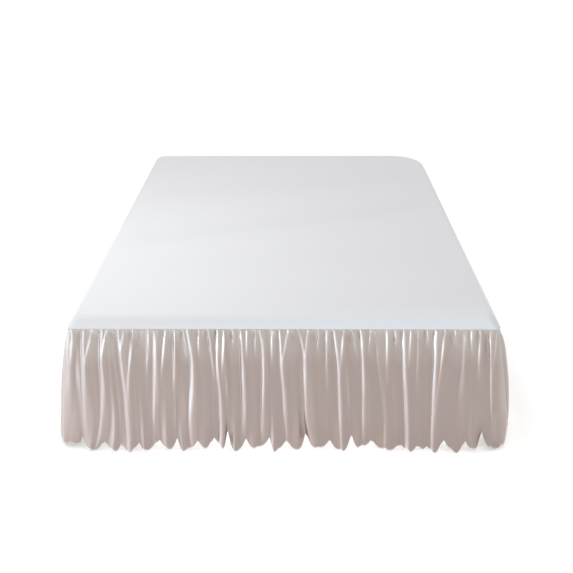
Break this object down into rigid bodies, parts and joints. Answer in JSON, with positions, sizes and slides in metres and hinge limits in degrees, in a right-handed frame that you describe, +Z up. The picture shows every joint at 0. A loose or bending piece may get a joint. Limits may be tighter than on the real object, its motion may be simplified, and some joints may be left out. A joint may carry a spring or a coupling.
{
  "type": "bed skirt on a bed base",
  "caption": "White deck panel rolled over a plain bed base, with a gathered champagne ruffle with a scalloped hem hung round the foot and both sides.",
  "frame": {"origin": "on the floor, under the middle of the whole part's outline", "axes": "+Z up, +Y towards the head of the bed, +X to the right when looking at the foot"},
  "size_m": [1.7374, 2.165, 0.5],
  "materials": {
    "deck_cloth": "white plain-woven cotton, matt",
    "ruffle_cloth": "pale champagne brushed microfibre with a soft sheen",
    "base_cover": "plain woven upholstery",
    "feet_wood": "oiled beech"
  },
  "bodies": {
    "root": {"top_panel": "deck_cloth", "ruffle_left": "ruffle_cloth", "ruffle_foot": "ruffle_cloth", "ruffle_right": "ruffle_cloth", "base": "base_cover", "leg_foot_left": "feet_wood", "leg_foot_right": "feet_wood", "leg_middle_left": "feet_wood", "leg_middle_right": "feet_wood", "leg_head_left": "feet_wood", "leg_head_right": "feet_wood"}
  },
  "joints": []
}
